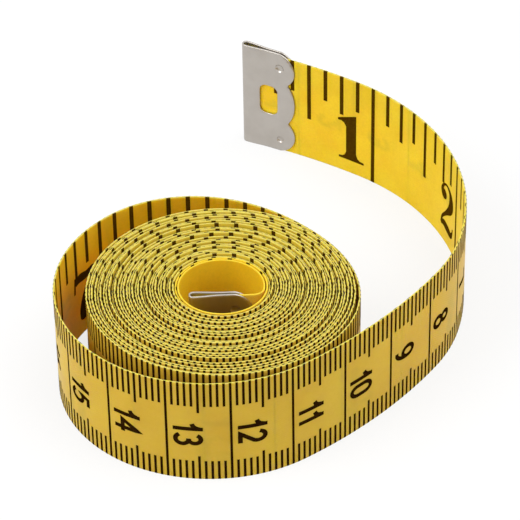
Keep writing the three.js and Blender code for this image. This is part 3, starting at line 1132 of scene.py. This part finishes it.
def inside(points, loop):
    """Which points lie inside a closed loop."""
    ahead = np.roll(loop, -1, axis=0)
    u, v = points[:, 0:1], points[:, 1:2]
    crosses = (loop[:, 1] > v) != (ahead[:, 1] > v)
    rise = np.where(ahead[:, 1] == loop[:, 1], 1, ahead[:, 1] - loop[:, 1])
    meets = loop[:, 0] + (v - loop[:, 1]) / rise * (ahead[:, 0] - loop[:, 0])
    return (crosses & (u < meets)).sum(axis=1) % 2 == 1


def fold_sheet(flat, offset):
    """Folded places (along the strip, off its middle, up) of flat ones, offset outwards."""
    u, v = flat[:, 0], flat[:, 1]
    dent = np.zeros(len(flat))
    for x, height, radius, depth in PITS:
        away = np.hypot(np.abs(u) - flat_u(x), v - height)
        dent += depth * np.clip(1 - (away / radius) ** PIT_STEEPNESS, 0, 1)
    offset = offset + np.sign(u) * dent
    angle = np.clip(u / CLIP_FOLD_RADIUS, -math.pi / 2, math.pi / 2)
    past = np.clip(np.abs(u) - FOLD_HALF, 0, None)
    pinch = CLIP_PINCH * smoothstep(past / CLIP_PINCH_REACH)
    x = CLIP_OUTER_HALF - (CLIP_FOLD_RADIUS + offset) * np.cos(angle) + past
    y = (CLIP_FOLD_RADIUS + offset) * np.sin(angle) - np.sign(u) * pinch
    return np.stack([x, y, v], axis=1)


def on_sheet(points, loops):
    """Which points lie inside the first loop and outside the others."""
    keep = inside(points, loops[0])
    for hole in loops[1:]:
        keep &= ~inside(points, hole)
    return keep


def grid_points(loops):
    """Points over the sheet, closer together at the fold, away from every rim."""
    reach = flat_u(CLIP_LENGTH)
    fold = np.arange(-FOLD_HALF, FOLD_HALF + FOLD_GRID / 2, FOLD_GRID)
    leaf = np.arange(FOLD_HALF + SHEET_GRID, reach, SHEET_GRID)
    columns = np.concatenate([-leaf[::-1], fold, leaf])
    u, v = np.meshgrid(columns, np.arange(SHEET_GRID, CLIP_HEIGHT, SHEET_GRID))
    points = np.stack([u.ravel(), v.ravel()], axis=1)
    keep = on_sheet(points, loops)
    for x, height, radius, _ in PITS:
        from_pit = np.hypot(np.abs(points[:, 0]) - flat_u(x), points[:, 1] - height)
        keep &= from_pit > radius * PIT_RINGS[-1]
    points = np.vstack([points[keep], pit_points()])
    from_rims = np.linalg.norm(points[:, None] - np.vstack(loops)[None], axis=2)
    clear = from_rims.min(axis=1) > RIM_ROOM
    return points[clear]


def loop_edges(loops):
    """The edges of each loop, where the points of all of them are numbered one after another."""
    edges = []
    first = 0
    for loop in loops:
        edges.append([(first + i, first + (i + 1) % len(loop)) for i in range(len(loop))])
        first += len(loop)
    return edges


def sheet_triangles(flat, loops):
    """Triangles over flat points, of which the first ones are those of the loops."""
    edges = sum(loop_edges(loops), [])
    triangles = delaunay_2d_cdt([Vector(point) for point in flat], edges, [], 0, SAME_POINT)[2]
    middles = np.array([flat[list(triangle)].mean(axis=0) for triangle in triangles])
    keep = on_sheet(middles, loops)
    return [tuple(triangle) for triangle, kept in zip(triangles, keep) if kept]


def clip_mesh():
    """Points and faces of the folded sheet, with softened rims."""
    outline = sheet_outline()
    holes = [window_outline(side) for side in (1, -1)]
    rims = [outline, *holes]
    insets = [shifted(outline, CLIP_BEVEL)] + [shifted(hole, -CLIP_BEVEL) for hole in holes]
    flat = np.vstack([*insets, grid_points(insets)])
    triangles = sheet_triangles(flat, insets)

    half = CLIP_SHEET / 2
    rim_flat = np.vstack(rims)
    layers = [fold_sheet(flat, half), fold_sheet(flat, -half)]
    layers += [fold_sheet(rim_flat, half - CLIP_BEVEL), fold_sheet(rim_flat, CLIP_BEVEL - half)]
    lower = len(flat)
    rim_upper = 2 * len(flat)
    rim_lower = rim_upper + len(rim_flat)
    faces = [triangle[::-1] for triangle in triangles]
    faces += [tuple(lower + i for i in triangle) for triangle in triangles]
    for number, edges in enumerate(loop_edges(rims)):
        for edge in edges:
            a, b = edge if number == 0 else edge[::-1]
            faces.append((a, b, rim_upper + b, rim_upper + a))
            faces.append((rim_upper + a, rim_upper + b, rim_lower + b, rim_lower + a))
            faces.append((rim_lower + a, rim_lower + b, lower + b, lower + a))
    return np.vstack(layers), faces


def build_clip(name, node, body, along, inward):
    """A metal end with its fold at a distance from the zero end, reaching inward along the strip."""
    points, faces = clip_mesh()
    forward = heading_at(along) * inward
    plan = place(along) + points[:, :1] * forward + points[:, 1:2] * left_of(forward)
    clip = make_object(name, np.column_stack([plan, points[:, 2]]), faces, STEEL)
    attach(clip, body)
    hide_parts(node)


# Studio, in metres

FLOOR_HALF = 3.0
FLOOR_SHADE = 0.22
WORLD_LEVEL = 0.6

# Lamps as (name, place, size, power)
LAMPS = (
    ("left_lamp", (-0.45, -0.15, 0.5), 0.5, 2.6),
    ("right_lamp", (0.3, -0.1, 0.6), 0.6, 2.4),
)


def seen_directly(tree):
    """1 for what the camera sees at once, in a reflection or through glass."""
    path = tree.nodes.new("ShaderNodeLightPath")
    share = tree.calculate("MAXIMUM", path.outputs["Is Camera Ray"], path.outputs["Is Glossy Ray"])
    return tree.calculate("MAXIMUM", share, path.outputs["Is Transmission Ray"])


def floor_material():
    """A white that glows where it is seen, and keeps a share of the light that falls on it."""
    material, tree = new_material("white_floor")
    tree.feed_shader({"Base Color": (0.85, 0.85, 0.85), "Roughness": 0.9, "Specular IOR Level": 0})
    lit = tree.nodes["Principled BSDF"].outputs["BSDF"]
    glow = tree.add("Emission", "Emission", {})
    share = tree.calculate("MULTIPLY", seen_directly(tree), 1 - FLOOR_SHADE)
    surface = tree.add("MixShader", "Shader", {"Fac": share, 1: lit, 2: glow})
    tree.feed(tree.nodes["Material Output"].inputs["Surface"], surface)
    return material


def build_floor():
    half = FLOOR_HALF / MM
    corners = [(-half, -half, 0), (half, -half, 0), (half, half, 0), (-half, half, 0)]
    make_object("floor", corners, [(0, 1, 2, 3)], floor_material())


def build_world():
    world = bpy.data.worlds.new("studio")
    bpy.context.scene.world = world
    tree = NodeTree(world)
    background = tree.nodes["Background"]
    tree.feed(background.inputs["Color"], (1, 1, 1))
    tree.feed(background.inputs["Strength"], tree.ramp(seen_directly(tree), 0, 1, WORLD_LEVEL, 1))


def add_lamp(name, place_in_room, size, power):
    """A round soft lamp that looks at the middle of the part."""
    light = bpy.data.lights.new(name, "AREA")
    light.shape = "DISK"
    light.size = size
    light.energy = power
    lamp = add_object(name, light)
    lamp.location = place_in_room
    lamp.rotation_euler = (-lamp.location).to_track_quat("-Z", "Y").to_euler()


def build_camera():
    aim_at = np.append((COIL_MIDDLE + AIM_FROM_COIL) * MM, 0)
    away = np.array([0, -math.cos(CAMERA_ELEVATION), math.sin(CAMERA_ELEVATION)])
    data = bpy.data.cameras.new("camera")
    data.sensor_width = SENSOR
    data.lens = FOCAL_PIXELS / IMAGE_SIDE * SENSOR
    camera = add_object("camera", data)
    camera.location = aim_at + away * CAMERA_DISTANCE * MM
    look = Vector(-away).to_track_quat("-Z", "Y").to_matrix() @ Matrix.Rotation(CAMERA_ROLL, 3, "Z")
    camera.rotation_euler = look.to_euler()
    bpy.context.scene.camera = camera


build_strip()
build_clip("zero_end_clip", "zero_clip", ZERO_BODY, 0, 1)
build_clip("far_end_clip", "far_clip", "inner_end", STRIP_LENGTH, -1)
build_floor()
build_world()
for lamp_values in LAMPS:
    add_lamp(*lamp_values)
build_camera()
bpy.context.scene.view_settings.view_transform = "Standard"
